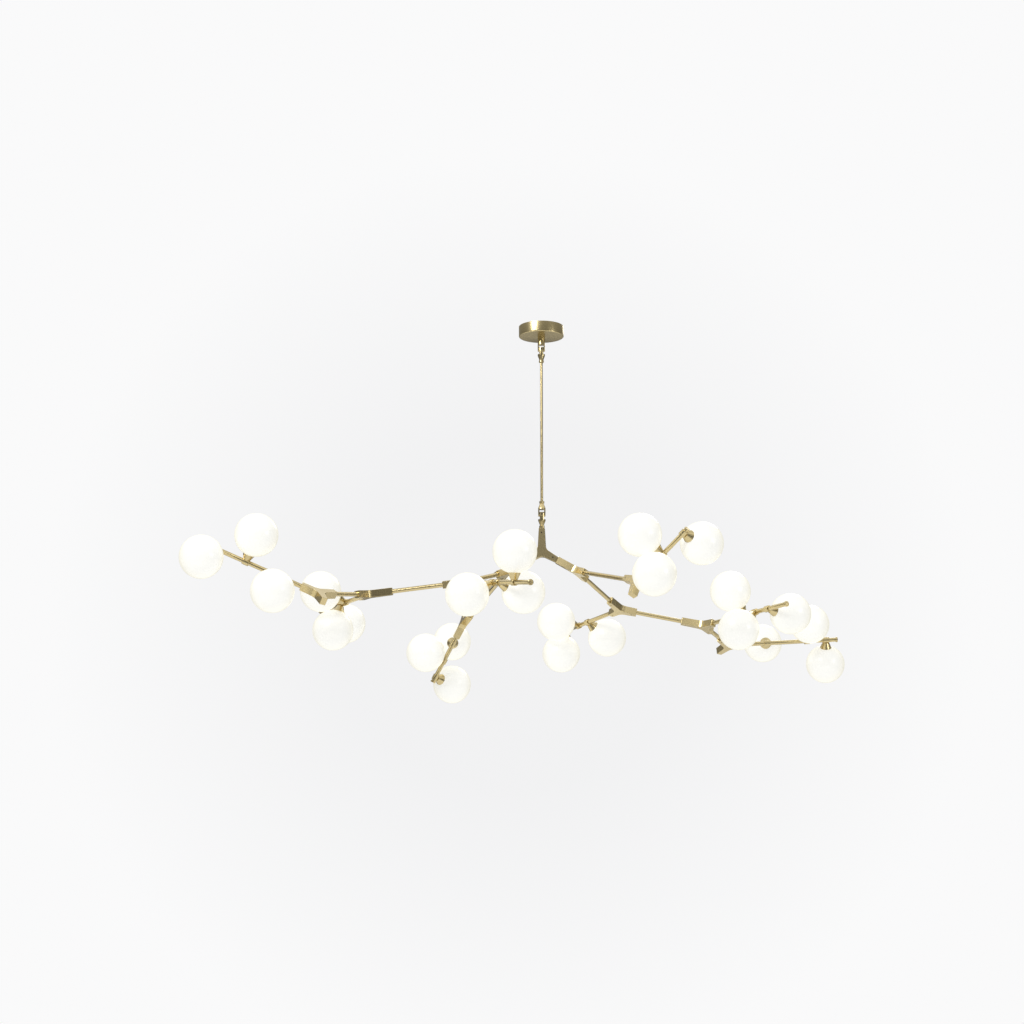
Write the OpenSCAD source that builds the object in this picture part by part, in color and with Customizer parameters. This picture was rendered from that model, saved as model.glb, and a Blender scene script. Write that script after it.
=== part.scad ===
// Globe chandelier: Y hubs and straight brass rods branch from one stem and carry 24 glass globes.
// Millimetres, +Z up. The origin is the centre of the canopy's ceiling face; the lamp hangs to -Z.
// In a hub's own frame +Z runs away from its long arm and the hub's flat faces look to +Y and -Y.

/* [Shown part] */
// name of the node to draw, or all

/* [Canopy and ceiling parts] */
// outside diameter of the canopy
canopy_d = 136; // [126:2:148]
// height of the canopy below the ceiling
canopy_h = 32; // [28:1:36]
// thickness of the canopy's sheet
canopy_wall = 1.5; // [1:0.25:2]
// radius of the canopy's lower edge
canopy_edge = 2.5; // [2:0.5:6]
// distance between the two ceiling screws
screw_spacing = 88.9; // [80:0.1:94]
// width of the ceiling screw slots
slot_w = 5; // [4:0.5:6]
// length of the ceiling screw slots from end to end
slot_l = 10; // [8:1:12]
// width of the ceiling bracket
bracket_w = 22; // [20:1:30]
// outside diameter of the threaded tube
nipple_d = 10; // [9:0.5:11]

/* [Stem and universal joints] */
// diameter of the stem tube
stem_d = 8; // [7:0.5:9]
// distance from the upper pivot to the lower pivot
pivot_span = 508; // [400:2:700]
// diameter of the forks
fork_d = 22; // [21:0.5:24]
// gap between a fork's two ears
ear_gap = 14; // [12:0.5:15]
// diameter of the pivot pins
pin_d = 5; // [4:0.25:6]
// height of the round post between canopy and fork ears
post_h = 25; // [22:1:40]

/* [Hubs] */
// thickness of a hub from face to face
hub_t = 21; // [19:0.5:24]
// width of a hub's arm at its end
arm_w = 17; // [16:0.5:19]
// width of a hub's arm at its root
root_w = 24; // [20:0.5:26]
// radius of the curve between two arms
web_r = 22; // [16:1:28]
// length of the incoming arm from the hub's centre
long_arm = 70; // [66:1:76]
// length of the two outgoing arms from the hub's centre
short_arm = 52; // [50:1:56]
// depth of a rod's socket in an arm
socket = 22; // [18:1:24]
// diameter of a set screw
screw_d = 4; // [3:0.5:5]

/* [Rods] */
// outside diameter of every rod
rod_d = 13; // [12.5:0.25:13.5]
// bore of every rod
rod_bore = 10; // [8:0.5:10.5]
// diameter of a rod's end cap
cap_d = 16.5; // [15:0.5:18]

/* [Globes] */
// outside diameter of a globe
globe_d = 120; // [112:1:121]
// thickness of the glass
glass_wall = 2.5; // [2:0.25:3.5]
// distance from the rod's axis to a globe's centre
globe_off = 83; // [82:0.5:86]
// diameter of the opening in a globe
mouth_d = 28; // [26:1:30]
// outside diameter of a fitter's flared rim
rim_d = 36; // [34:1:40]
// outside diameter of the lamp holder
holder_d = 17.6; // [16:0.4:18]

/* [Branches] */
// turn of the centre hub about the stem
turn_a = -6; // [-8:1:-4]
// turn of right hub 1 about its incoming arm
turn_b = 86; // [84:1:88]
// turn of left hub 1 about its incoming arm
turn_j = 91; // [89:1:93]
// length of the rod from right hub 1 to right hub 2
link_f = 159; // [155:1:163]
// turn of right hub 2 about its rod
turn_f = 338; // [336:1:340]
// length of the rod from right hub 1 to the front right hub
link_g = 280; // [276:1:284]
// turn of the front right hub about its rod
turn_g = 268; // [266:1:270]
// length of the rod from right hub 2 to right hub 3
link_h = 140; // [136:1:144]
// turn of right hub 3 about its rod
turn_h = 4; // [2:1:6]
// length of the rod from right hub 3 to right hub 4
link_k = 62; // [58:1:66]
// turn of right hub 4 about its rod
turn_k = 343; // [341:1:345]
// length of the rod from left hub 1 to left hub 2
link_d = 124; // [120:1:128]
// turn of left hub 2 about its rod
turn_d = 153; // [151:1:155]
// length of the rod from left hub 1 to the rear left hub
link_c = 292; // [288:1:296]
// turn of the rear left hub about its rod
turn_c = 323; // [321:1:325]
// length of the rod from left hub 2 to left hub 3
link_e = 145; // [141:1:149]
// turn of left hub 3 about its rod
turn_e = 189; // [187:1:191]
// length of the rod from left hub 3 to left hub 4
link_i = 101; // [97:1:105]
// turn of left hub 4 about its rod
turn_i = 144; // [142:1:146]

/* [Globe rods] */
// length of globe rod 1 outside its hub
rod_1 = 321; // [319:1:329]
// distance of its globes from the rod's free end
at_1 = [49, 154, 263];
// direction of its globes around the rod in degrees
dir_1 = [171, 268, 166];
// length of globe rod 2 outside its hub
rod_2 = 337; // [335:1:345]
// distance of its globes from the rod's free end
at_2 = [18, 209, 174];
// direction of its globes around the rod in degrees
dir_2 = [213, 27, 295];
// length of globe rod 3 outside its hub
rod_3 = 158; // [156:1:166]
// distance of its globes from the rod's free end
at_3 = [76, 138, 18];
// direction of its globes around the rod in degrees
dir_3 = [56, 183, 231];
// length of globe rod 4 outside its hub
rod_4 = 372; // [370:1:380]
// distance of its globes from the rod's free end
at_4 = [191, 96, 226];
// direction of its globes around the rod in degrees
dir_4 = [153, 260, 15];
// length of globe rod 5 outside its hub
rod_5 = 280; // [278:1:288]
// distance of its globes from the rod's free end
at_5 = [88, 18, 144];
// direction of its globes around the rod in degrees
dir_5 = [169, 93, 17];
// length of globe rod 6 outside its hub
rod_6 = 154; // [152:1:162]
// distance of its globes from the rod's free end
at_6 = [18, 101, 134];
// direction of its globes around the rod in degrees
dir_6 = [293, 77, 170];
// length of globe rod 7 outside its hub
rod_7 = 364; // [362:1:372]
// distance of its globes from the rod's free end
at_7 = [92, 153, 204];
// direction of its globes around the rod in degrees
dir_7 = [188, 56, 320];
// length of globe rod 8 outside its hub
rod_8 = 293; // [291:1:301]
// distance of its globes from the rod's free end
at_8 = [36, 96, 223];
// direction of its globes around the rod in degrees
dir_8 = [139, 345, 204];

/* [Hidden] */
$fn = 72;
over = 1;
nick = 0.01;
rods = [rod_1, rod_2, rod_3, rod_4, rod_5, rod_6, rod_7, rod_8];
places = [at_1, at_2, at_3, at_4, at_5, at_6, at_7, at_8];
headings = [dir_1, dir_2, dir_3, dir_4, dir_5, dir_6, dir_7, dir_8];

// clearances
run_fit = 0.05;
thread_fit = 0.1;
cheek_gap = 0.2;
seat_gap = 0.05;

// forks and knuckles
throat = 15;
ear_relief = 1.1;
ear_w = ear_gap - 2 * ear_relief;
knuckle = ear_gap - 2 * cheek_gap;
pin_inset = 0.4;
pin_half = fork_d / 2 - pin_inset;
fork_floor = 4;
neck_h = 15;
neck_d = 11;
collar_h = 6;
collar_d = 15;
stem_hold = 18;
stem_wall = 1.5;
foot_h = 8;
foot_d = 16;
upper_z = -canopy_h - post_h - throat;
lower_z = upper_z - pivot_span;
hub_z = lower_z - throat - fork_floor - neck_h - foot_h - long_arm;

// ceiling parts
bracket_t = 2;
bracket_gap = 12;
bracket_l = canopy_d - 2 * bracket_gap;
nut_af = 14;
nut_h = 5;
nipple_hold = 12;
block_size = [22, 18, 14];
block_x = 16;
block_edge = 4;
block_pitch = 7;
wire_bore = 3.2;

// hubs
arm_angle = 60;
wire_d = 7;
chamber = 4;
web_bite = 0.3;
screw_back = 14;
screw_l = 3;
key_af = 2;
key_deep = 1.6;
slip = 0.5;

// globe rods
cap_h = 5;
plug_h = 8;
wire_hole = 5;

// fitters and lamps
clasp_d = 19;
clasp_l = 18;
flare_z = 7;
flare_d = 19;
cup_wall = 1.2;
cup_floor = 11;
cup_gap = 0.5;
rim_z = globe_off - sqrt(pow(globe_d / 2, 2) - pow(rim_d / 2, 2)) - seat_gap;
holder_h = 22;
ring_over = 5;
ring_d = mouth_d + ring_over;
ring_h = 3;
ring_z = globe_off - sqrt(pow(globe_d / 2 - glass_wall, 2) - pow(ring_d / 2, 2)) + seat_gap;
cap_base_d = 9;
cap_base_h = 13;
bulb_d = 15;
bulb_h = 32;

brass = [0.78, 0.66, 0.4];
steel = [0.7, 0.7, 0.72];
glass = [1, 0.99, 0.95];
white = [0.9, 0.9, 0.88];

// frames along the tree
module at_a() {
    translate([0, 0, hub_z]) rotate([0, 0, turn_a]) rotate([180, 0, 0]) children();
}

// moves from a hub's centre to the end of its right (1) or left (-1) outgoing arm
module arm_end(side) {
    rotate([0, side * arm_angle, 0]) translate([0, 0, short_arm]) children();
}

// moves from a hub's centre to the centre of the next hub
module next_hub(side, link, turn) {
    arm_end(side) translate([0, 0, link + long_arm]) rotate([0, 0, turn]) children();
}

module at_b() {
    at_a() next_hub(1, 0, turn_b) children();
}

module at_j() {
    at_a() next_hub(-1, 0, turn_j) children();
}

module at_f() {
    at_b() next_hub(-1, link_f, turn_f) children();
}

module at_g() {
    at_b() next_hub(1, link_g, turn_g) children();
}

module at_h() {
    at_f() next_hub(1, link_h, turn_h) children();
}

module at_k() {
    at_h() next_hub(-1, link_k, turn_k) children();
}

module at_d() {
    at_j() next_hub(1, link_d, turn_d) children();
}

module at_c() {
    at_j() next_hub(-1, link_c, turn_c) children();
}

module at_e() {
    at_d() next_hub(1, link_e, turn_e) children();
}

module at_i() {
    at_e() next_hub(1, link_i, turn_i) children();
}

// frame of a globe rod: origin at the hub's arm end, +Z towards the free end
module on_rod(n) {
    if (n == 1) at_i() arm_end(1) children();
    if (n == 2) at_e() arm_end(-1) children();
    if (n == 3) at_c() arm_end(1) children();
    if (n == 4) at_d() arm_end(-1) children();
    if (n == 5) at_f() arm_end(-1) children();
    if (n == 6) at_g() arm_end(1) children();
    if (n == 7) at_h() arm_end(1) children();
    if (n == 8) at_k() arm_end(1) children();
}

// frame of each globe on a rod: +Z from the rod's axis to the globe's centre, X along the rod
module each_globe(n) {
    for (i = [0 : 2]) {
        translate([0, 0, rods[n - 1] - places[n - 1][i]]) rotate([0, 0, headings[n - 1][i]])
            rotate([0, 90, 0]) children();
    }
}

// ceiling parts
module slot_hole() {
    reach = (slot_l - slot_w) / 2;
    for (s = [-1, 1]) {
        translate([s * reach, 0, -bracket_t - over]) cylinder(d = slot_w, h = bracket_t + 2 * over);
    }
    translate([-reach, -slot_w / 2, -bracket_t - over])
        cube([2 * reach, slot_w, bracket_t + 2 * over]);
}

module ceiling_bracket() {
    color(steel) difference() {
        translate([-bracket_l / 2, -bracket_w / 2, -bracket_t]) cube([bracket_l, bracket_w, bracket_t]);
        translate([0, 0, -bracket_t - over])
            cylinder(d = nipple_d + 2 * thread_fit, h = bracket_t + 2 * over);
        for (s = [-1, 1]) {
            translate([s * screw_spacing / 2, 0, 0]) slot_hole();
        }
    }
}

module terminal_block() {
    color(white) difference() {
        translate([block_x, -block_size[1] / 2, -bracket_t - block_size[2]]) cube(block_size);
        for (i = [0 : 2]) {
            translate([block_x + block_edge + block_pitch * i, 0, -bracket_t - block_size[2] / 2])
                rotate([90, 0, 0]) cylinder(d = wire_bore, h = block_size[1] + 2 * over, center = true);
        }
    }
}

module canopy_outline(inset) {
    r = canopy_d / 2 - inset;
    e = canopy_edge - inset / 2;
    h = canopy_h - inset;
    square([r - e, h]);
    translate([0, e]) square([r, h - e + inset]);
    translate([r - e, e]) circle(r = e);
}

module canopy() {
    color(brass) difference() {
        translate([0, 0, -canopy_h]) rotate_extrude() difference() {
            canopy_outline(0);
            translate([0, canopy_wall]) canopy_outline(canopy_wall);
        }
        translate([0, 0, -canopy_h - over])
            cylinder(d = nipple_d + 2 * thread_fit, h = canopy_wall + 2 * over);
    }
}

module canopy_nipple() {
    length = canopy_h + nipple_hold - slip;
    color(steel) difference() {
        translate([0, 0, -slip - length]) cylinder(d = nipple_d, h = length);
        translate([0, 0, -slip - length - over]) cylinder(d = wire_d, h = length + 2 * over);
    }
}

module nut(z) {
    translate([0, 0, z]) difference() {
        cylinder(d = nut_af / cos(30), h = nut_h, $fn = 6);
        translate([0, 0, -over]) cylinder(d = nipple_d + 2 * thread_fit, h = nut_h + 2 * over);
    }
}

module canopy_nuts() {
    color(steel) {
        nut(-bracket_t - nut_h);
        nut(-canopy_h + canopy_wall);
    }
}

// a fork with its ears pointing down around a pin along X; its body stands above the throat
module fork(body_h) {
    difference() {
        intersection() {
            union() {
                translate([0, 0, throat]) cylinder(d = fork_d, h = body_h);
                for (s = [-1, 1]) {
                    translate([s * (ear_gap + fork_d) / 4, 0, 0]) {
                        rotate([0, 90, 0]) cylinder(d = ear_w, h = (fork_d - ear_gap) / 2, center = true);
                        translate([-(fork_d - ear_gap) / 4, -ear_w / 2, 0])
                            cube([(fork_d - ear_gap) / 2, ear_w, throat + over]);
                    }
                }
            }
            translate([0, 0, -fork_d]) cylinder(d = fork_d, h = fork_d + throat + body_h);
        }
        rotate([0, 90, 0]) cylinder(d = pin_d + 2 * run_fit, h = fork_d + over, center = true);
    }
}

// a fork whose body narrows to a collar of the given height and diameter
module necked_fork(end_h, end_d) {
    fork(fork_floor);
    translate([0, 0, throat + fork_floor]) cylinder(d1 = fork_d, d2 = neck_d, h = neck_h);
    translate([0, 0, throat + fork_floor + neck_h]) cylinder(d = end_d, h = end_h);
}

module knuckle_block() {
    difference() {
        cube(knuckle, center = true);
        for (a = [0, 90]) {
            rotate([0, 90, a]) cylinder(d = pin_d + 2 * run_fit, h = knuckle + over, center = true);
        }
    }
}

module pivot_pins() {
    rotate([0, 90, 0]) cylinder(d = pin_d, h = 2 * pin_half, center = true);
    for (s = [-1, 1]) {
        rotate([-s * 90, 0, 0]) translate([0, 0, pin_d / 2 + cheek_gap])
            cylinder(d = pin_d, h = pin_half - pin_d / 2 - cheek_gap);
    }
}

module upper_fork() {
    color(brass) difference() {
        translate([0, 0, upper_z]) fork(post_h);
        translate([0, 0, -canopy_h - nipple_hold])
            cylinder(d = nipple_d + 2 * thread_fit, h = nipple_hold + over);
    }
}

module upper_knuckle() {
    color(steel) translate([0, 0, upper_z]) knuckle_block();
}

module upper_pins() {
    color(steel) translate([0, 0, upper_z]) pivot_pins();
}

module stem_fork() {
    top = throat + fork_floor + neck_h + collar_h;
    difference() {
        necked_fork(collar_h, collar_d);
        translate([0, 0, top - stem_hold]) cylinder(d = stem_d + 2 * run_fit, h = stem_hold + over);
    }
}

module stem_top_fork() {
    color(brass) translate([0, 0, upper_z]) rotate([180, 0, 90]) stem_fork();
}

module stem_tube() {
    reach = throat + fork_floor + neck_h + collar_h - stem_hold;
    length = pivot_span - 2 * reach;
    color(brass) translate([0, 0, lower_z + reach]) difference() {
        cylinder(d = stem_d, h = length);
        translate([0, 0, -over]) cylinder(d = stem_d - 2 * stem_wall, h = length + 2 * over);
    }
}

module stem_bottom_fork() {
    color(brass) translate([0, 0, lower_z]) stem_fork();
}

module lower_knuckle() {
    color(steel) translate([0, 0, lower_z]) knuckle_block();
}

module lower_pins() {
    color(steel) translate([0, 0, lower_z]) pivot_pins();
}

module hub_fork() {
    top = throat + fork_floor + neck_h + foot_h;
    color(brass) translate([0, 0, lower_z]) rotate([180, 0, 90]) {
        necked_fork(foot_h, foot_d);
        translate([0, 0, top - over]) cylinder(d = rod_d, h = socket - slip + over);
    }
}

// hubs
module hub_outline() {
    corner = root_w / sqrt(3);
    inner = corner / 2;
    lean = arm_angle + atan((root_w - arm_w) / 2 / (short_arm - inner));
    touch = [corner + web_r / tan(lean) * cos(lean), web_r * cos(lean)];
    centre = [corner + web_r / sin(lean), 0];
    for (k = [0 : 2]) {
        reach = k == 2 ? long_arm : short_arm;
        rotate(30 + 120 * k) polygon([
            [0, 0],
            [inner, -root_w / 2],
            [reach, -arm_w / 2],
            [reach, arm_w / 2],
            [inner, root_w / 2]]);
        rotate(90 + 120 * k) difference() {
            polygon([[0, 0], [touch[0], -touch[1]], centre, touch]);
            translate(centre) circle(r = web_r + web_bite);
        }
    }
}

// the hollow of one arm, along +Z from the hub's centre
module arm_hollow(reach) {
    cylinder(d = wire_d, h = reach);
    translate([0, 0, reach - socket]) cylinder(d = rod_d + 2 * run_fit, h = socket + over);
    translate([0, 0, reach - screw_back]) rotate([-90, 0, 0]) cylinder(d = screw_d, h = hub_t);
}

module hub(right, left) {
    color(brass) difference() {
        rotate([90, 0, 0]) linear_extrude(height = hub_t, center = true) hub_outline();
        rotate([180, 0, 0]) mirror([0, 1, 0]) arm_hollow(long_arm);
        if (right) rotate([0, arm_angle, 0]) arm_hollow(short_arm);
        if (left) rotate([0, -arm_angle, 0]) arm_hollow(short_arm);
        sphere(d = wire_d + chamber);
    }
}

module centre_hub() {
    at_a() hub(true, true);
}

module right_hub_1() {
    at_b() hub(true, true);
}

module right_hub_2() {
    at_f() hub(true, true);
}

module right_hub_3() {
    at_h() hub(true, true);
}

module right_hub_4() {
    at_k() hub(true, false);
}

module front_right_hub() {
    at_g() hub(true, false);
}

module left_hub_1() {
    at_j() hub(true, true);
}

module left_hub_2() {
    at_d() hub(true, true);
}

module left_hub_3() {
    at_e() hub(true, true);
}

module left_hub_4() {
    at_i() hub(true, false);
}

module rear_left_hub() {
    at_c() hub(true, false);
}

// a rod between two arms, seated in both sockets
module link(side, length) {
    arm_end(side) translate([0, 0, -socket + slip]) difference() {
        cylinder(d = rod_d, h = length + 2 * socket - 2 * slip);
        translate([0, 0, -over]) cylinder(d = rod_bore, h = length + 2 * socket + 2 * over);
    }
}

module link_rods() {
    color(brass) {
        at_a() link(1, 0);
        at_a() link(-1, 0);
        at_b() link(-1, link_f);
        at_b() link(1, link_g);
        at_f() link(1, link_h);
        at_h() link(-1, link_k);
        at_j() link(1, link_d);
        at_j() link(-1, link_c);
        at_d() link(1, link_e);
        at_e() link(1, link_i);
    }
}

module screw() {
    rotate([-90, 0, 0]) translate([0, 0, rod_d / 2 + 2 * run_fit]) difference() {
        cylinder(d = screw_d - 2 * run_fit, h = screw_l);
        translate([0, 0, screw_l - key_deep]) cylinder(d = key_af / cos(30), h = key_deep + over, $fn = 6);
    }
}

module hub_screws(right, left) {
    translate([0, 0, screw_back - long_arm]) screw();
    if (right) arm_end(1) translate([0, 0, -screw_back]) screw();
    if (left) arm_end(-1) translate([0, 0, -screw_back]) screw();
}

module set_screws() {
    color(steel) {
        at_a() hub_screws(true, true);
        at_b() hub_screws(true, true);
        at_f() hub_screws(true, true);
        at_h() hub_screws(true, true);
        at_k() hub_screws(true, false);
        at_g() hub_screws(true, false);
        at_j() hub_screws(true, true);
        at_d() hub_screws(true, true);
        at_e() hub_screws(true, true);
        at_i() hub_screws(true, false);
        at_c() hub_screws(true, false);
    }
}

// globe rods
module arm_rod(n) {
    length = rods[n - 1];
    color(brass) on_rod(n) {
        difference() {
            translate([0, 0, -socket + slip]) cylinder(d = rod_d, h = length - cap_h + socket - slip);
            translate([0, 0, -socket]) cylinder(d = rod_bore, h = length + socket + over);
            each_globe(n) cylinder(d = wire_hole, h = rod_d);
        }
        translate([0, 0, length - cap_h]) cylinder(d = cap_d, h = cap_h);
        translate([0, 0, length - cap_h - plug_h]) cylinder(d = rod_bore - 2 * run_fit, h = plug_h + over);
    }
}

module fitter() {
    difference() {
        union() {
            rotate([0, 90, 0]) cylinder(d = clasp_d, h = clasp_l, center = true);
            translate([0, 0, flare_z]) cylinder(d1 = flare_d, d2 = rim_d, h = rim_z - flare_z);
        }
        translate([0, 0, cup_floor])
            cylinder(d1 = holder_d + 2 * cup_gap, d2 = rim_d - 2 * cup_wall, h = rim_z - cup_floor + nick);
        rotate([0, 90, 0]) cylinder(d = rod_d + 2 * run_fit, h = flare_d + 2 * over, center = true);
        cylinder(d = wire_hole, h = cup_floor + over);
    }
}

module fitters(n) {
    color(brass) on_rod(n) each_globe(n) fitter();
}

module globe() {
    rotate_extrude() difference() {
        translate([0, globe_off]) circle(d = globe_d);
        translate([0, globe_off]) circle(d = globe_d - 2 * glass_wall);
        translate([-globe_d, 0]) square([globe_d, 2 * globe_d]);
        square([mouth_d / 2, globe_off]);
    }
}

module globes(n) {
    color(glass) on_rod(n) each_globe(n) globe();
}

module lamp() {
    top = cup_floor + holder_h;
    difference() {
        translate([0, 0, cup_floor]) cylinder(d = holder_d, h = holder_h);
        translate([0, 0, top - cap_base_h - slip]) cylinder(d = cap_base_d + 2 * run_fit, h = holder_h);
    }
    difference() {
        translate([0, 0, ring_z]) cylinder(d = ring_d, h = ring_h);
        translate([0, 0, ring_z - over]) cylinder(d = holder_d + 2 * thread_fit, h = ring_h + 2 * over);
    }
    translate([0, 0, top - cap_base_h]) cylinder(d = cap_base_d, h = cap_base_h + over);
    translate([0, 0, top + slip]) cylinder(d = bulb_d, h = bulb_h);
    translate([0, 0, top + slip + bulb_h]) sphere(d = bulb_d);
}

module lamps(n) {
    color(white) on_rod(n) each_globe(n) lamp();
}

ceiling_bracket();
terminal_block();
canopy();
canopy_nipple();
canopy_nuts();
upper_fork();
upper_knuckle();
upper_pins();
stem_top_fork();
stem_tube();
stem_bottom_fork();
lower_knuckle();
lower_pins();
hub_fork();
centre_hub();
right_hub_1();
right_hub_2();
right_hub_3();
right_hub_4();
front_right_hub();
left_hub_1();
left_hub_2();
left_hub_3();
left_hub_4();
rear_left_hub();
link_rods();
set_screws();
for (n = [1 : 8]) {
    arm_rod(n);
    fitters(n);
    globes(n);
    lamps(n);
}
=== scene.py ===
"""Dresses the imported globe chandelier: brushed brass hubs and rods, opal globes, studio floor and light."""

import math

import bmesh
import bpy
from mathutils import Matrix, Vector


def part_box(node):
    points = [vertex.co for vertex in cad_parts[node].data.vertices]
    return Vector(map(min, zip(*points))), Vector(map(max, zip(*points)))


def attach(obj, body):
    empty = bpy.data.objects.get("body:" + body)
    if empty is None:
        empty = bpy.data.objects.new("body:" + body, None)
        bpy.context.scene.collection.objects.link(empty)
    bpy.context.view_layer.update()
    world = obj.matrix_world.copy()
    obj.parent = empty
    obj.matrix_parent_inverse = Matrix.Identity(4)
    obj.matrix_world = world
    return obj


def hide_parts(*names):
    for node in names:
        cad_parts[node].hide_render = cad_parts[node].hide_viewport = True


bl_info = {
    "name": "Globe chandelier",
    "version": (1, 0, 0),
    "blender": (4, 5, 0),
    "location": "3D View > Sidebar > Globe chandelier",
    "description": "Models the brass tree, joints, canopy and opal globes around the packed frame",
    "category": "Object",
}

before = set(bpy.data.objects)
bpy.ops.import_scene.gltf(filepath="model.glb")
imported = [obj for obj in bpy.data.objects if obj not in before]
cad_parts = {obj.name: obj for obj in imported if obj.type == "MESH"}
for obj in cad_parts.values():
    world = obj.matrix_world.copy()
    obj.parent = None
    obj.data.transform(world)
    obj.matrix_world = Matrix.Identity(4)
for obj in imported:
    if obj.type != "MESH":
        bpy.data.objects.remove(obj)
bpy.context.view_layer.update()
MM = 0.001

# Hub, parent, side of the parent (1 right, -1 left), rod between them in mm, turn about the incoming arm
HUB_TREE = (
    ("right_hub_1", "centre_hub", 1, 0, 86),
    ("left_hub_1", "centre_hub", -1, 0, 91),
    ("right_hub_2", "right_hub_1", -1, 159, 338),
    ("front_right_hub", "right_hub_1", 1, 280, 268),
    ("right_hub_3", "right_hub_2", 1, 140, 4),
    ("right_hub_4", "right_hub_3", -1, 62, 343),
    ("left_hub_2", "left_hub_1", 1, 124, 153),
    ("rear_left_hub", "left_hub_1", -1, 292, 323),
    ("left_hub_3", "left_hub_2", 1, 145, 189),
    ("left_hub_4", "left_hub_3", 1, 101, 144),
)
# The centre hub's height in mm and its turn about the stem in degrees
CENTRE_HUB_Z = -692
CENTRE_HUB_TURN = -6
# Hub, side, length outside the hub and distances of the globes from the free end in mm, their directions
GLOBE_RODS = (
    ("left_hub_4", 1, 321, (49, 154, 263), (171, 268, 166)),
    ("left_hub_3", -1, 337, (18, 209, 174), (213, 27, 295)),
    ("rear_left_hub", 1, 158, (76, 138, 18), (56, 183, 231)),
    ("left_hub_2", -1, 372, (191, 96, 226), (153, 260, 15)),
    ("right_hub_2", -1, 280, (88, 18, 144), (169, 93, 17)),
    ("front_right_hub", 1, 154, (18, 101, 134), (293, 77, 170)),
    ("right_hub_3", 1, 364, (92, 153, 204), (188, 56, 320)),
    ("right_hub_4", 1, 293, (36, 96, 223), (139, 345, 204)),
)
ARM_ANGLE = math.radians(60)

# Faces that meet at less than this are shaded as one: on turned pieces, on blocks and on the cut cups
SMOOTH_ANGLE = math.radians(35)
BLOCK_SMOOTH_ANGLE = math.radians(50)
CUP_SMOOTH_ANGLE = math.radians(30)
BEVEL_ANGLE = math.radians(35)

# Sides of round pieces
TUBE_SIDES = 48
GLOBE_SIDES = 64
CANOPY_SIDES = 128

# Lengths in mm that are not offered in the sidebar
ROD_FIT = 0.05
ROD_BORE = 5
HUB_EDGE = 0.7
SCREW_INSET = 14
SCREW_RADIUS = 2.1
SCREW_DEPTH = (3, 20)
CAP_HEIGHT = 5
CAP_PLUG = 3
CLAMP_RADIUS = 9.5
CLAMP_HALF = 9
CLAMP_EDGE = 0.5
CUP_ROOT = 7
CUP_FLOOR = 11
SEAT_GAP = 0.05
CANOPY_WALL = 1.5
CANOPY_EDGE = 2.5
CANOPY_HOLE = 5.1
STEM_WALL = 1.5

# The studio, in metres and degrees
FLOOR_RADIUS = 3.2
FLOOR_LEVEL = -2.4
LIT_POINT = (0, 0, -0.7)
# Name, place, size, power in watts
LIGHTS = (
    ("key_light", (-2.6, -3.4, 1.6), 1.6, 95),
    ("fill_light", (3.6, -2.6, -0.2), 1.2, 22),
    ("rim_light", (1.5, 3.4, 1.6), 1.4, 18),
)
# Height on the sky from straight down to straight up, and the grey that the metal mirrors there
SKY_BANDS = ((0.0, 0.55), (0.3, 0.42), (0.47, 0.1), (0.55, 0.16), (0.68, 0.3), (0.8, 1.0), (1.0, 0.7))
# The painted shade on the backdrop behind the lamp: its direction, and how far from it the shade starts and
# stops to fade
BACKDROP_SHADE_DIRECTION = (0.0, 0.993, 0.12)
BACKDROP_SHADE_FADE = (0.1, 0.26)
CAMERA_PLACE = (-0.089, -5.108, -1.495)
CAMERA_PITCH = 10.24
CAMERA_LENS = 61.17


def tune(label, value, help_text):
    """One length in metres that a user can change in the sidebar."""
    return bpy.props.FloatProperty(
        name=label, description=help_text, default=value, unit="LENGTH", precision=4)


def tint(label, value, help_text):
    """One colour that a user can change in the sidebar."""
    return bpy.props.FloatVectorProperty(
        name=label, description=help_text, default=value, size=3, subtype="COLOR", min=0, max=1)


class CHANDELIER_PG_sizes(bpy.types.PropertyGroup):
    """Sizes of the chandelier's pieces."""

    hub_thickness: tune("Hub thickness", 21 * MM, "From one flat face of a hub to the other")
    arm_width: tune("Arm width", 17 * MM, "Width of a hub's arm at its end")
    root_width: tune("Root width", 24 * MM, "Width of a hub's arm at its root")
    web_radius: tune("Web radius", 22 * MM, "Radius of the curve between two arms")
    long_arm: tune("Long arm", 70 * MM, "Incoming arm, from the hub's centre")
    short_arm: tune("Short arm", 52 * MM, "Outgoing arms, from the hub's centre")
    socket: tune("Socket depth", 22 * MM, "Depth of a rod's socket")
    rod: tune("Rod diameter", 13 * MM, "Outside diameter of every rod")
    cap: tune("Cap diameter", 16.5 * MM, "Diameter of a globe rod's end cap")
    globe: tune("Globe diameter", 120 * MM, "Outside diameter of a globe")
    glass: tune("Glass thickness", 2.5 * MM, "Thickness of the opal glass")
    globe_reach: tune("Globe reach", 83 * MM, "From a rod's axis to a globe's centre")
    mouth: tune("Globe opening", 28 * MM, "Diameter of the opening in a globe")
    rim: tune("Fitter rim", 36 * MM, "Diameter of a fitter's flared rim")
    canopy: tune("Canopy diameter", 136 * MM, "Outside diameter of the canopy")
    canopy_depth: tune("Canopy depth", 32 * MM, "Height of the canopy")
    stem: tune("Stem diameter", 8 * MM, "Diameter of the drop stem")


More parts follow.
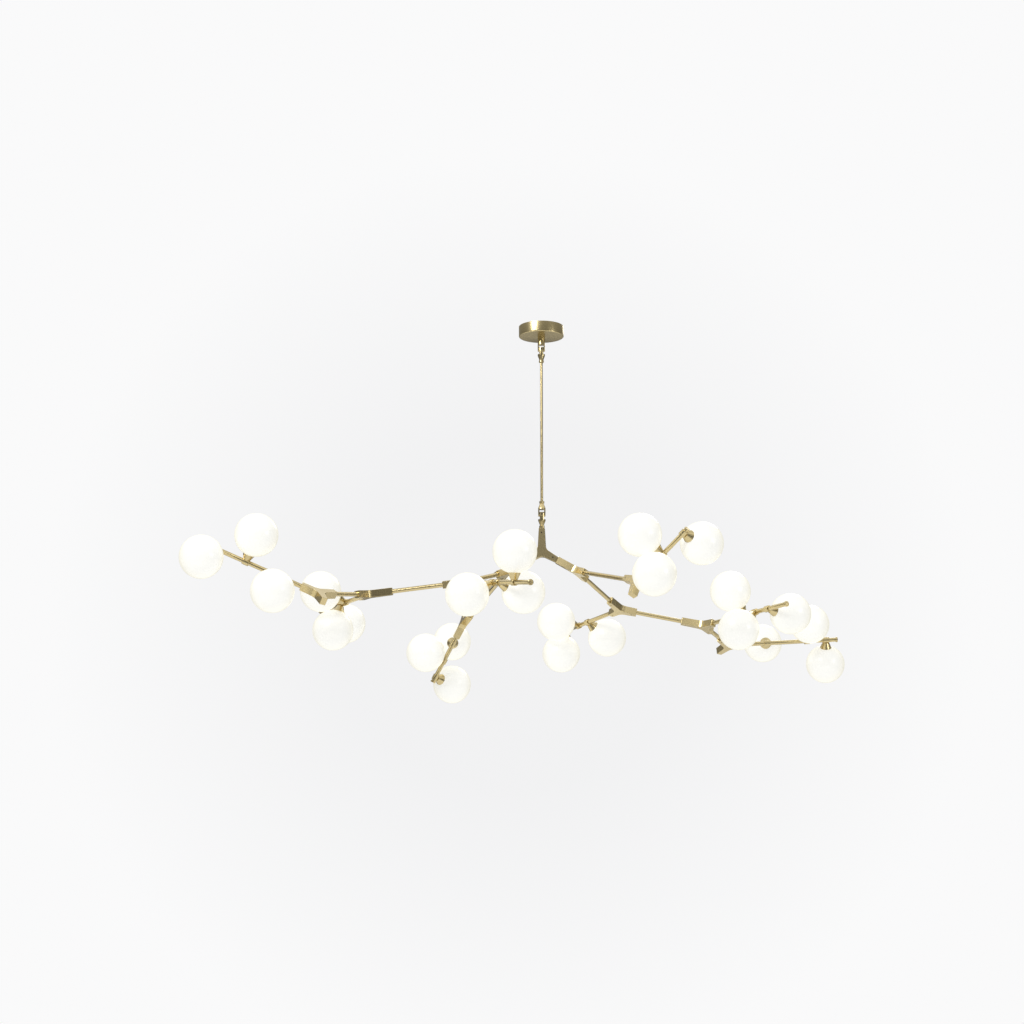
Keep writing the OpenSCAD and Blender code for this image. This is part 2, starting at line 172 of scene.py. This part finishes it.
class CHANDELIER_PG_finish(bpy.types.PropertyGroup):
    """Colours of the chandelier and its studio."""

    brass: tint("Brass", (0.71, 0.585, 0.315), "Satin brass")
    brass_deep: tint("Brass, deep", (0.63, 0.51, 0.26), "Darker streaks of the brushed brass")
    steel: tint("Steel", (0.42, 0.40, 0.36), "Steel of the parts inside the canopy")
    glow: tint("Globe glow", (1.0, 0.996, 0.95), "Light of the lit opal glass seen face on")
    rim_glow: tint("Globe edge", (1.0, 0.96, 0.79), "Light of the lit opal glass at the globe's edge")
    floor: tint("Floor", (0.93, 0.93, 0.93), "Studio floor")
    sky: tint("Studio", (0.955, 0.955, 0.958), "Studio background")
    # Painted shade: the camera sees the backdrop in this darker grey behind the lamp
    shade_and_mottle: tint("Backdrop shade", (0.885, 0.885, 0.892), "Studio background behind the lamp")


def sizes():
    return bpy.context.scene.chandelier_sizes


def finish():
    return bpy.context.scene.chandelier_finish


def clear_selection():
    """Leaves edit mode and deselects everything, as each new piece expects."""
    if bpy.context.object and bpy.context.object.mode != "OBJECT":
        bpy.ops.object.mode_set(mode="OBJECT")
    bpy.ops.object.select_all(action="DESELECT")


def select_only(piece):
    clear_selection()
    piece.select_set(True)
    bpy.context.view_layer.objects.active = piece


def pick(piece, mode, test):
    """In edit mode, selects just the faces or edges that pass the test."""
    bpy.ops.mesh.select_mode(type=mode)
    bpy.ops.mesh.select_all(action="DESELECT")
    mesh = bmesh.from_edit_mesh(piece.data)
    for part in {"FACE": mesh.faces, "EDGE": mesh.edges}[mode]:
        if test(part):
            part.select_set(True)
    mesh.select_flush_mode()
    bmesh.update_edit_mesh(piece.data)


def apply(piece, kind, **settings):
    """Adds a modifier with these settings and applies it."""
    select_only(piece)
    modifier = piece.modifiers.new(kind.title(), kind)
    for key, value in settings.items():
        setattr(modifier, key, value)
    bpy.ops.object.modifier_apply(modifier=modifier.name)


def cut(piece, *tools):
    """Cuts the tools out of the piece and deletes them."""
    for tool in tools:
        apply(piece, "BOOLEAN", operation="DIFFERENCE", solver="EXACT", object=tool)
        bpy.data.objects.remove(tool)


def join(pieces, name):
    """Joins pieces into one named object at the origin."""
    clear_selection()
    for piece in pieces:
        piece.select_set(True)
    bpy.context.view_layer.objects.active = pieces[0]
    bpy.ops.object.join()
    whole = bpy.context.object
    whole.name = whole.data.name = name
    return whole


def placed(pattern, matrix):
    """A copy of the pattern with its own mesh, put in place in its mesh."""
    copy = pattern.copy()
    copy.data = pattern.data.copy()
    bpy.context.collection.objects.link(copy)
    copy.data.transform(matrix)
    return copy


def lathe(name, profile, steps=GLOBE_SIDES):
    """Spins a profile of (radius, height) in mm about Z: a point is drawn along it first."""
    clear_selection()
    bpy.ops.mesh.primitive_plane_add(size=MM)
    piece = bpy.context.object
    piece.name = name
    bpy.ops.object.mode_set(mode="EDIT")
    bpy.ops.mesh.select_mode(type="VERT")
    bpy.ops.mesh.merge(type="CENTER")
    here = Vector((0, 0, 0))
    for k, (radius, height) in enumerate(profile):
        point = Vector((radius * MM, 0, height * MM))
        if k:
            bpy.ops.mesh.extrude_region_move(TRANSFORM_OT_translate={"value": point - here})
        else:
            bpy.ops.transform.translate(value=point)
        here = point
    bpy.ops.mesh.select_all(action="SELECT")
    bpy.ops.mesh.spin(steps=steps, angle=2 * math.pi, center=(0, 0, 0), axis=(0, 0, 1))
    bpy.ops.mesh.select_all(action="SELECT")
    bpy.ops.mesh.remove_doubles(threshold=0.01 * MM)
    bpy.ops.mesh.delete_loose(use_verts=True, use_edges=True, use_faces=False)
    bpy.ops.mesh.select_all(action="SELECT")
    bpy.ops.mesh.normals_make_consistent(inside=False)
    bpy.ops.object.mode_set(mode="OBJECT")
    select_only(piece)
    bpy.ops.object.shade_smooth_by_angle(angle=SMOOTH_ANGLE)
    return piece


def rod_profile(radius, low, high, bore, lip=0.5):
    """Profile of a tube with rounded ends, in mm, from its inner lower edge round to the start."""
    r, b = radius, bore
    return [(b, low + lip), (b + lip, low), (r - lip, low), (r, low + lip), (r, high - lip), (r - lip, high),
            (b + lip, high), (b, high - lip), (b, low + lip)]


# Places on the tree, as matrices in metres
def lift(z):
    return Matrix.Translation((0, 0, z))


def turned(angle, axis):
    return Matrix.Rotation(angle, 4, axis)


def arm_end(side):
    """From a hub's centre to the end of an outgoing arm."""
    return turned(side * ARM_ANGLE, "Y") @ lift(sizes().short_arm)


def hub_places():
    """Each hub's frame: +Z runs away from its long arm, and its flat faces look to +Y and -Y."""
    places = {"centre_hub": lift(CENTRE_HUB_Z * MM) @ turned(math.radians(CENTRE_HUB_TURN), "Z")
              @ turned(math.pi, "X")}
    for hub, parent, side, link, turn in HUB_TREE:
        places[hub] = (places[parent] @ arm_end(side) @ lift(link * MM + sizes().long_arm)
                       @ turned(math.radians(turn), "Z"))
    return places


def rod_place(index):
    """Frame of a globe rod: origin at the hub's arm end, +Z towards the free end."""
    hub, side = GLOBE_RODS[index][:2]
    return hub_places()[hub] @ arm_end(side)


def globe_places(index):
    """Frames of a rod's three globes: +Z from the rod's axis to the globe's centre, X along the rod."""
    length, stations, headings = GLOBE_RODS[index][2:]
    return [rod_place(index) @ lift((length - station) * MM) @ turned(math.radians(heading), "Z")
            @ turned(math.pi / 2, "Y") for station, heading in zip(stations, headings)]


# Materials
def new_material(name):
    """A new node material, with its nodes, its links and its shader."""
    material = bpy.data.materials.new(name)
    material.use_nodes = True
    nodes = material.node_tree.nodes
    return material, nodes, material.node_tree.links, nodes["Principled BSDF"]


def noise(nodes, links, where, scale, detail=2):
    """Noise over the coordinates, as a factor."""
    made = nodes.new("ShaderNodeTexNoise")
    made.inputs["Scale"].default_value = scale
    made.inputs["Detail"].default_value = detail
    links.new(where, made.inputs["Vector"])
    return made.outputs["Fac"]


def ramp(nodes, links, source, stops):
    """A colour ramp on the source, from (position, grey or colour) stops."""
    made = nodes.new("ShaderNodeValToRGB")
    marks = made.color_ramp.elements
    while len(marks) < len(stops):
        marks.new(0.5)
    for mark, (position, value) in zip(marks, stops):
        mark.position = position
        mark.color = (value, value, value, 1) if isinstance(value, float) else (*value, 1)
    links.new(source, made.inputs["Fac"])
    return made.outputs["Color"]


def brushed_metal(name, base, deep, roughness, stretch):
    """Metal with fine brush marks, faint clouding and small changes of gloss."""
    material, nodes, links, shader = new_material(name)
    shader.inputs["Metallic"].default_value = 1.0
    shader.inputs["Anisotropic"].default_value = 0.45
    where = nodes.new("ShaderNodeTexCoord")
    along = nodes.new("ShaderNodeMapping")
    along.inputs["Scale"].default_value = stretch
    links.new(where.outputs["Object"], along.inputs["Vector"])
    marks = noise(nodes, links, along.outputs["Vector"], 420, 4)
    clouds = noise(nodes, links, where.outputs["Object"], 22, 3)
    both = nodes.new("ShaderNodeMix")
    both.data_type = "FLOAT"
    both.inputs["Factor"].default_value = 0.15
    links.new(marks, both.inputs["A"])
    links.new(clouds, both.inputs["B"])
    colour = ramp(nodes, links, both.outputs["Result"], ((0.25, deep), (0.6, base)))
    links.new(colour, shader.inputs["Base Color"])
    gloss = nodes.new("ShaderNodeMapRange")
    gloss.inputs["To Min"].default_value = roughness - 0.03
    gloss.inputs["To Max"].default_value = roughness + 0.04
    links.new(both.outputs["Result"], gloss.inputs["Value"])
    links.new(gloss.outputs["Result"], shader.inputs["Roughness"])
    relief = nodes.new("ShaderNodeBump")
    relief.inputs["Strength"].default_value = 0.012
    relief.inputs["Distance"].default_value = 0.05 * MM
    links.new(marks, relief.inputs["Height"])
    links.new(relief.outputs["Normal"], shader.inputs["Normal"])
    return material


def opal_glass():
    """Lit opal glass: a soft even glow under a glossy skin, a little creamier towards the globe's edge."""
    material, nodes, links, shader = new_material("lit_opal_glass")
    where = nodes.new("ShaderNodeTexCoord")
    shade_and_mottle = noise(nodes, links, where.outputs["Object"], 9)
    edge = nodes.new("ShaderNodeLayerWeight")
    edge.inputs["Blend"].default_value = 0.35
    mixed = nodes.new("ShaderNodeMath")
    mixed.operation = "MULTIPLY_ADD"
    mixed.inputs[1].default_value = 0.25
    links.new(shade_and_mottle, mixed.inputs[0])
    links.new(edge.outputs["Facing"], mixed.inputs[2])
    glow = ramp(nodes, links, mixed.outputs["Value"], ((0.3, finish().glow), (1.0, finish().rim_glow)))
    links.new(glow, shader.inputs["Emission Color"])
    skin = nodes.new("ShaderNodeMixRGB")
    skin.blend_type = "MULTIPLY"
    skin.inputs["Fac"].default_value = 1.0
    skin.inputs["Color2"].default_value = (0.5, 0.5, 0.5, 1)
    links.new(glow, skin.inputs["Color1"])
    links.new(skin.outputs["Color"], shader.inputs["Base Color"])
    shader.inputs["Emission Strength"].default_value = 0.6
    shader.inputs["Roughness"].default_value = 0.3
    shader.inputs["Coat Weight"].default_value = 0.15
    shader.inputs["Coat Roughness"].default_value = 0.2
    return material


def moulded(name, base, roughness):
    """Plain moulded plastic or porcelain with a faint mottling."""
    material, nodes, links, shader = new_material(name)
    where = nodes.new("ShaderNodeTexCoord")
    speck = noise(nodes, links, where.outputs["Object"], 160)
    colour = ramp(nodes, links, speck, ((0.0, [c * 0.9 for c in base]), (1.0, base)))
    links.new(colour, shader.inputs["Base Color"])
    shader.inputs["Roughness"].default_value = roughness
    return material


def finishes():
    """The chandelier's materials, made once."""
    if "satin_brass" not in bpy.data.materials:
        brushed_metal("satin_brass", finish().brass, finish().brass_deep, 0.26, (1, 1, 6))
        brushed_metal("joint_steel", finish().steel, [c * 0.7 for c in finish().steel], 0.34, (1, 6, 1))
        brushed_metal("dark_steel", (0.12, 0.11, 0.10), (0.05, 0.045, 0.04), 0.4, (1, 1, 1))
        opal_glass()
        moulded("lamp_porcelain", (0.86, 0.85, 0.81), 0.3)
    return bpy.data.materials


def hand_over(piece, material, body, slot, *nodes):
    """Gives the piece its material and body, and hides the CAD nodes that it stands for. The slot is not
    used.
    """
    piece.data.materials.clear()
    piece.data.materials.append(finishes()[material])
    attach(piece, body)
    if nodes:
        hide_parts(*nodes)


def dress(node, material):
    """Gives a CAD node, kept as it is, its material."""
    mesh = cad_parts[node].data
    mesh.materials.clear()
    mesh.materials.append(finishes()[material])


def softened(node, edge, material, body, slot):
    """Makes a copy of a CAD node with its edges rounded by so many mm, standing for the node."""
    piece = bpy.data.objects.new(node + "_part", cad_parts[node].data.copy())
    bpy.context.collection.objects.link(piece)
    piece.data.name = piece.name
    select_only(piece)
    bpy.ops.mesh.customdata_custom_splitnormals_clear()
    bpy.ops.object.mode_set(mode="EDIT")
    bpy.ops.mesh.select_all(action="SELECT")
    bpy.ops.mesh.remove_doubles(threshold=0.005 * MM)
    bpy.ops.mesh.dissolve_limited(angle_limit=math.radians(1))
    bpy.ops.object.mode_set(mode="OBJECT")
    apply(piece, "BEVEL", width=edge * MM, segments=2, limit_method="ANGLE", angle_limit=BEVEL_ANGLE)
    bpy.ops.object.shade_smooth_by_angle(angle=BLOCK_SMOOTH_ANGLE)
    apply(piece, "WEIGHTED_NORMAL", keep_sharp=True)
    hand_over(piece, material, body, slot, node)


def is_sharp(edge, degrees):
    return len(edge.link_faces) == 2 and edge.calc_face_angle(0) > math.radians(degrees)


def plug(radius, low, high, matrix):
    """A cylinder along +Z between two heights, as a cutting tool; all in metres."""
    clear_selection()
    bpy.ops.mesh.primitive_cylinder_add(
        vertices=TUBE_SIDES, radius=radius, depth=high - low, location=(0, 0, (low + high) / 2))
    tool = bpy.context.object
    bpy.ops.object.transform_apply(location=True)
    tool.data.transform(matrix)
    return tool


def hub_pattern(name, right, left):
    """One flat three-way hub: a triangular block with an arm drawn out of each side."""
    s = sizes()
    clear_selection()
    corner = s.root_width / math.sqrt(3)
    taper = s.arm_width / s.root_width
    lean = ARM_ANGLE + math.atan((s.root_width - s.arm_width) / 2 / (s.short_arm - corner / 2))
    bpy.ops.mesh.primitive_cylinder_add(vertices=3, radius=corner, depth=s.hub_thickness)
    hub = bpy.context.object
    hub.name = name
    bpy.ops.object.mode_set(mode="EDIT")
    for angle, reach in ((30, s.short_arm), (150, s.short_arm), (270, s.long_arm)):
        way = Vector((math.cos(math.radians(angle)), math.sin(math.radians(angle)), 0))
        pick(hub, "FACE", lambda face: face.normal.dot(way) > 0.99)
        bpy.ops.mesh.extrude_region_move(TRANSFORM_OT_translate={"value": way * (reach - corner / 2)})
        bpy.ops.transform.resize(value=(taper, taper, 1), center_override=way * reach)
    pick(hub, "EDGE", lambda edge: abs(edge.verts[0].co.z - edge.verts[1].co.z) > s.hub_thickness / 2
         and all(abs(v.co.xy.length - corner) < 0.1 * MM for v in edge.verts))
    bpy.ops.mesh.bevel(offset=s.web_radius / math.tan(lean), offset_type="OFFSET", segments=14, profile=0.5,
                       clamp_overlap=False)
    pick(hub, "EDGE", lambda edge: is_sharp(edge, 40))
    bpy.ops.mesh.bevel(offset=HUB_EDGE * MM, offset_type="OFFSET", segments=3, profile=0.5)
    bpy.ops.object.mode_set(mode="OBJECT")
    hub.data.transform(turned(math.pi / 2, "X"))
    arms = ((True, math.pi, s.long_arm), (right, ARM_ANGLE, s.short_arm), (left, -ARM_ANGLE, s.short_arm))
    near, far = SCREW_DEPTH
    for used, angle, reach in arms:
        if used:
            turn = turned(angle, "Y")
            hole = lift(reach - SCREW_INSET * MM) @ turned(-math.pi / 2, "X")
            cut(hub, plug(s.rod / 2 + ROD_FIT * MM, reach - s.socket, reach + 5 * MM, turn),
                plug(SCREW_RADIUS * MM, near * MM, far * MM, turn @ hole))
    select_only(hub)
    bpy.ops.object.shade_smooth_by_angle(angle=BLOCK_SMOOTH_ANGLE)
    apply(hub, "WEIGHTED_NORMAL", keep_sharp=True)
    return hub


class CHANDELIER_OT_hubs(bpy.types.Operator):
    """Models the three-way hub once and places all eleven"""

    bl_idname = "chandelier.hubs"
    bl_label = "Hubs"

    def execute(self, context):
        one_armed = ("right_hub_4", "front_right_hub", "left_hub_4", "rear_left_hub")
        both = hub_pattern("hub_pattern", True, True)
        single = hub_pattern("single_hub_pattern", True, False)
        for node, place in hub_places().items():
            hub = placed(single if node in one_armed else both, place)
            hub.name = hub.data.name = node + "_body"
            hand_over(hub, "satin_brass", "tree", "brass", node)
        bpy.data.objects.remove(both)
        bpy.data.objects.remove(single)
        dress("set_screws", "dark_steel")
        return {"FINISHED"}


class CHANDELIER_OT_link_rods(bpy.types.Operator):
    """Models the tubes that join the hubs"""

    bl_idname = "chandelier.link_rods"
    bl_label = "Rods between hubs"

    def execute(self, context):
        tubes = []
        places = hub_places()
        hold = sizes().socket / MM - 0.5
        radius = sizes().rod / MM / 2
        for _, parent, side, link, _ in HUB_TREE:
            tube = lathe("link_tube", rod_profile(radius, -hold, link + hold, ROD_BORE), steps=TUBE_SIDES)
            tube.data.transform(places[parent] @ arm_end(side))
            tubes.append(tube)
        hand_over(join(tubes, "link_tubes"), "satin_brass", "tree", "brass", "link_rods")
        return {"FINISHED"}


class CHANDELIER_OT_globe_rods(bpy.types.Operator):
    """Models the eight globe rods with their stepped end caps"""

    bl_idname = "chandelier.globe_rods"
    bl_label = "Globe rods"

    def execute(self, context):
        r, cap, low = sizes().rod / MM / 2, sizes().cap / MM / 2, 0.5 - sizes().socket / MM
        for index, (_, _, length, _, _) in enumerate(GLOBE_RODS):
            n = index + 1
            root, groove, floor = length - CAP_HEIGHT, length - 0.7, length - CAP_HEIGHT - CAP_PLUG
            profile = [(ROD_BORE, low), (r - 0.5, low), (r, low + 0.5), (r, root), (cap - 0.6, root),
                       (cap, root + 0.6), (cap, groove), (cap - 0.7, length), (r - 0.7, length),
                       (r - 0.9, groove), (r - 1.9, groove), (r - 2.1, length), (0, length),
                       (0, floor), (ROD_BORE, floor), (ROD_BORE, low)]
            tube = lathe("globe_rod_tube_%d" % n, profile, steps=TUBE_SIDES)
            tube.data.transform(rod_place(index))
            hand_over(tube, "satin_brass", "globe_rod_%d" % n, "brass", "arm_rod_%d" % n)
        return {"FINISHED"}


def on_globe_rods(pattern, name, material, slot, node):
    """Places three copies of the pattern on every globe rod, as one piece a rod, and deletes the pattern."""
    for index in range(len(GLOBE_RODS)):
        n = index + 1
        group = join([placed(pattern, place) for place in globe_places(index)], "%s_%d" % (name, n))
        hand_over(group, material, "globe_rod_%d" % n, slot, "%s_%d" % (node, n))
    bpy.data.objects.remove(pattern)


def fitter_pattern():
    """A clamp round the rod with a flared cup that holds a globe, along +Z."""
    s = sizes()
    rim = s.rim / MM / 2
    seat = s.globe_reach / MM - math.sqrt((s.globe / MM / 2) ** 2 - rim ** 2) - SEAT_GAP
    side, end = CLAMP_RADIUS - CLAMP_EDGE, CLAMP_HALF - CLAMP_EDGE
    clamp = lathe("clamp", [(0, -CLAMP_HALF), (side, -CLAMP_HALF), (CLAMP_RADIUS, -end), (CLAMP_RADIUS, end),
                            (side, CLAMP_HALF), (0, CLAMP_HALF)], steps=TUBE_SIDES)
    clamp.data.transform(turned(math.pi / 2, "Y"))
    cup = lathe("cup", [(0, CUP_ROOT), (CLAMP_RADIUS, CUP_ROOT), (CLAMP_RADIUS + 0.4, CUP_ROOT + 0.5),
                        (rim - 0.5, seat - 0.9), (rim, seat - 0.4), (rim - 0.3, seat), (rim - 1.2, seat),
                        (CLAMP_RADIUS - 0.2, CUP_FLOOR), (0, CUP_FLOOR)])
    apply(cup, "BOOLEAN", operation="UNION", solver="EXACT", object=clamp)
    bpy.data.objects.remove(clamp)
    cut(cup, plug(s.rod / 2 + ROD_FIT * MM, -20 * MM, 20 * MM, turned(math.pi / 2, "Y")))
    select_only(cup)
    bpy.ops.object.shade_smooth_by_angle(angle=CUP_SMOOTH_ANGLE)
    return cup


class CHANDELIER_OT_fitters(bpy.types.Operator):
    """Models one flared fitter and places three on every globe rod"""

    bl_idname = "chandelier.fitters"
    bl_label = "Globe fitters"

    def execute(self, context):
        on_globe_rods(fitter_pattern(), "fitter_cups", "satin_brass", "brass", "fitters")
        return {"FINISHED"}


def globe_pattern():
    """A blown opal globe with its round opening towards the rod."""
    s = sizes()
    outer, inner, mouth = s.globe / MM / 2, (s.globe - 2 * s.glass) / MM / 2, s.mouth / MM / 2
    reach = s.globe_reach / MM

    def arc(radius, steps):
        first = math.asin(mouth / radius)
        for k in range(steps + 1):
            turn = first + (math.pi - first) * k / steps
            yield (radius * math.sin(turn) if k < steps else 0, reach - radius * math.cos(turn))

    outside, inside = list(arc(outer, 40)), list(arc(inner, 24))
    return lathe("globe_pattern", [*outside, *reversed(inside), outside[0]])


class CHANDELIER_OT_globes(bpy.types.Operator):
    """Models one opal globe and places all twenty-four"""

    bl_idname = "chandelier.globes"
    bl_label = "Opal globes"

    def execute(self, context):
        on_globe_rods(globe_pattern(), "opal_globes", "lit_opal_glass", "opal_glass", "globes")
        for n in range(1, len(GLOBE_RODS) + 1):
            dress("lamps_%d" % n, "lamp_porcelain")
        return {"FINISHED"}


class CHANDELIER_OT_canopy(bpy.types.Operator):
    """Spins the canopy cup with its rounded lower edge"""

    bl_idname = "chandelier.canopy"
    bl_label = "Canopy"

    def execute(self, context):
        s = sizes()
        r, depth = s.canopy / MM / 2, s.canopy_depth / MM
        wall, edge, hole = CANOPY_WALL, CANOPY_EDGE, CANOPY_HOLE
        bend = [(r - edge + edge * math.sin(a), -depth + edge - edge * math.cos(a))
                for a in (math.radians(15 * k) for k in range(7))]
        profile = [(hole, -depth + wall), (hole, -depth), *bend, (r, -0.4), (r - 0.4, 0), (r - wall, 0),
                   (r - wall, -depth + edge), (r - edge, -depth + wall), (hole, -depth + wall)]
        canopy = lathe("canopy_cup", profile, steps=CANOPY_SIDES)
        hand_over(canopy, "satin_brass", "ceiling_part", "brass", "canopy")
        return {"FINISHED"}


class CHANDELIER_OT_ceiling_parts(bpy.types.Operator):
    """Rounds the edges of the bracket, block, threaded tube and nuts inside the canopy"""

    bl_idname = "chandelier.ceiling_parts"
    bl_label = "Ceiling parts"

    def execute(self, context):
        for node, edge in (("ceiling_bracket", 0.3), ("canopy_nipple", 0.4), ("canopy_nuts", 0.3)):
            softened(node, edge, "joint_steel", "ceiling_part", "steel")
        softened("terminal_block", 0.5, "lamp_porcelain", "ceiling_part", "white_plastic")
        return {"FINISHED"}


class CHANDELIER_OT_joints(bpy.types.Operator):
    """Rounds the forks, knuckles and pins of the two universal joints"""

    bl_idname = "chandelier.joints"
    bl_label = "Universal joints"

    def execute(self, context):
        for node, body in (("upper_fork", "ceiling_part"), ("stem_top_fork", "stem"),
                           ("stem_bottom_fork", "stem"), ("hub_fork", "tree")):
            softened(node, 0.4, "satin_brass", body, "brass")
        for kind, edge in (("knuckle", 0.5), ("pins", 0.3)):
            for end in ("upper", "lower"):
                softened(end + "_" + kind, edge, "dark_steel", end + "_cross", "steel")
        return {"FINISHED"}


class CHANDELIER_OT_stem(bpy.types.Operator):
    """Spins the drop stem"""

    bl_idname = "chandelier.stem"
    bl_label = "Stem"

    def execute(self, context):
        low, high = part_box("stem_tube")
        radius = sizes().stem / MM / 2
        profile = rod_profile(radius, low[2] / MM, high[2] / MM, radius - STEM_WALL, 0.3)
        stem = lathe("stem_rod", profile, steps=TUBE_SIDES)
        hand_over(stem, "satin_brass", "stem", "brass", "stem_tube")
        return {"FINISHED"}


def soft_light(name, place, size, power):
    """A large square lamp that looks at the chandelier."""
    light = bpy.data.lights.new(name, "AREA")
    light.shape = "SQUARE"
    light.size = size
    light.energy = power
    lamp = bpy.data.objects.new(name, light)
    bpy.context.collection.objects.link(lamp)
    lamp.location = place
    lamp.rotation_euler = (Vector(LIT_POINT) - Vector(place)).to_track_quat("-Z", "Y").to_euler()


def studio_sky(scene):
    """Pale background for the camera with a painted shade behind the lamp; light and dark bands for the metal
    to mirror.
    """
    world = scene.world or bpy.data.worlds.new("studio")
    scene.world = world
    world.use_nodes = True
    nodes, links = world.node_tree.nodes, world.node_tree.links
    nodes.clear()
    where = nodes.new("ShaderNodeTexCoord")
    split = nodes.new("ShaderNodeSeparateXYZ")
    links.new(where.outputs["Generated"], split.inputs["Vector"])
    height = nodes.new("ShaderNodeMapRange")
    height.inputs["From Min"].default_value = -1
    links.new(split.outputs["Z"], height.inputs["Value"])
    light = nodes.new("ShaderNodeBackground")
    links.new(ramp(nodes, links, height.outputs["Result"], SKY_BANDS), light.inputs["Color"])
    toward = nodes.new("ShaderNodeVectorMath")
    toward.operation = "DISTANCE"
    toward.inputs[1].default_value = BACKDROP_SHADE_DIRECTION
    links.new(where.outputs["Generated"], toward.inputs[0])
    seen = nodes.new("ShaderNodeBackground")
    # Painted shade: behind the lamp the camera sees the backdrop darker, fading out to the pale sky
    shade_and_mottle, sky = finish().shade_and_mottle, finish().sky
    start, stop = BACKDROP_SHADE_FADE
    backdrop = ((0.02, shade_and_mottle), (start, shade_and_mottle), (stop, sky), (1.0, sky))
    links.new(ramp(nodes, links, toward.outputs["Value"], backdrop), seen.inputs["Color"])
    ray = nodes.new("ShaderNodeLightPath")
    both = nodes.new("ShaderNodeMixShader")
    links.new(ray.outputs["Is Camera Ray"], both.inputs["Fac"])
    links.new(light.outputs["Background"], both.inputs[1])
    links.new(seen.outputs["Background"], both.inputs[2])
    out = nodes.new("ShaderNodeOutputWorld")
    links.new(both.outputs["Shader"], out.inputs["Surface"])


class CHANDELIER_OT_stage(bpy.types.Operator):
    """Adds the pale floor, the soft studio light and the camera"""

    bl_idname = "chandelier.stage"
    bl_label = "Studio"

    def execute(self, context):
        clear_selection()
        bpy.ops.mesh.primitive_circle_add(
            vertices=96, radius=FLOOR_RADIUS, fill_type="NGON", location=(0, 0, FLOOR_LEVEL))
        floor = context.object
        floor.name = "studio_floor"
        bpy.ops.object.transform_apply(location=True)
        material, nodes, links, shader = new_material("studio_paper")
        where = nodes.new("ShaderNodeTexCoord")
        grain = noise(nodes, links, where.outputs["Object"], 0.6)
        paper = finish().floor
        shade = ramp(nodes, links, grain, ((0.0, [c * 0.985 for c in paper]), (1.0, paper)))
        links.new(shade, shader.inputs["Base Color"])
        shader.inputs["Roughness"].default_value = 0.9
        floor.data.materials.append(material)
        studio_sky(context.scene)

        for name, place, size, power in LIGHTS:
            soft_light(name, place, size, power)
        context.scene.view_settings.view_transform = "Standard"

        camera = bpy.data.cameras.new("camera")
        camera.sensor_width = 36
        camera.lens = CAMERA_LENS
        camera.clip_end = 200
        view = bpy.data.objects.new("camera", camera)
        context.collection.objects.link(view)
        view.location = CAMERA_PLACE
        view.rotation_euler = (math.radians(90 + CAMERA_PITCH), 0, 0)
        context.scene.camera = view
        return {"FINISHED"}


STEPS = (CHANDELIER_OT_stage, CHANDELIER_OT_canopy, CHANDELIER_OT_ceiling_parts, CHANDELIER_OT_joints,
         CHANDELIER_OT_stem, CHANDELIER_OT_hubs, CHANDELIER_OT_link_rods, CHANDELIER_OT_globe_rods,
         CHANDELIER_OT_fitters, CHANDELIER_OT_globes)


class CHANDELIER_PT_panel(bpy.types.Panel):
    """Lists the chandelier's sizes, colours and building steps."""

    bl_label = "Globe chandelier"
    bl_idname = "CHANDELIER_PT_panel"
    bl_space_type = "VIEW_3D"
    bl_region_type = "UI"
    bl_category = "Globe chandelier"

    def draw(self, context):
        layout = self.layout
        for group in (context.scene.chandelier_sizes, context.scene.chandelier_finish):
            for key in group.__annotations__:
                layout.prop(group, key)
        for step in STEPS:
            layout.operator(step.bl_idname)


CLASSES = (CHANDELIER_PG_sizes, CHANDELIER_PG_finish, *STEPS, CHANDELIER_PT_panel)


def register():
    for cls in CLASSES:
        bpy.utils.register_class(cls)
    bpy.types.Scene.chandelier_sizes = bpy.props.PointerProperty(type=CHANDELIER_PG_sizes)
    bpy.types.Scene.chandelier_finish = bpy.props.PointerProperty(type=CHANDELIER_PG_finish)


def unregister():
    del bpy.types.Scene.chandelier_finish
    del bpy.types.Scene.chandelier_sizes
    for cls in reversed(CLASSES):
        bpy.utils.unregister_class(cls)


def main():
    register()
    for step in STEPS:
        group, name = step.bl_idname.split(".")
        getattr(getattr(bpy.ops, group), name)()


if __name__ == "__main__":
    main()
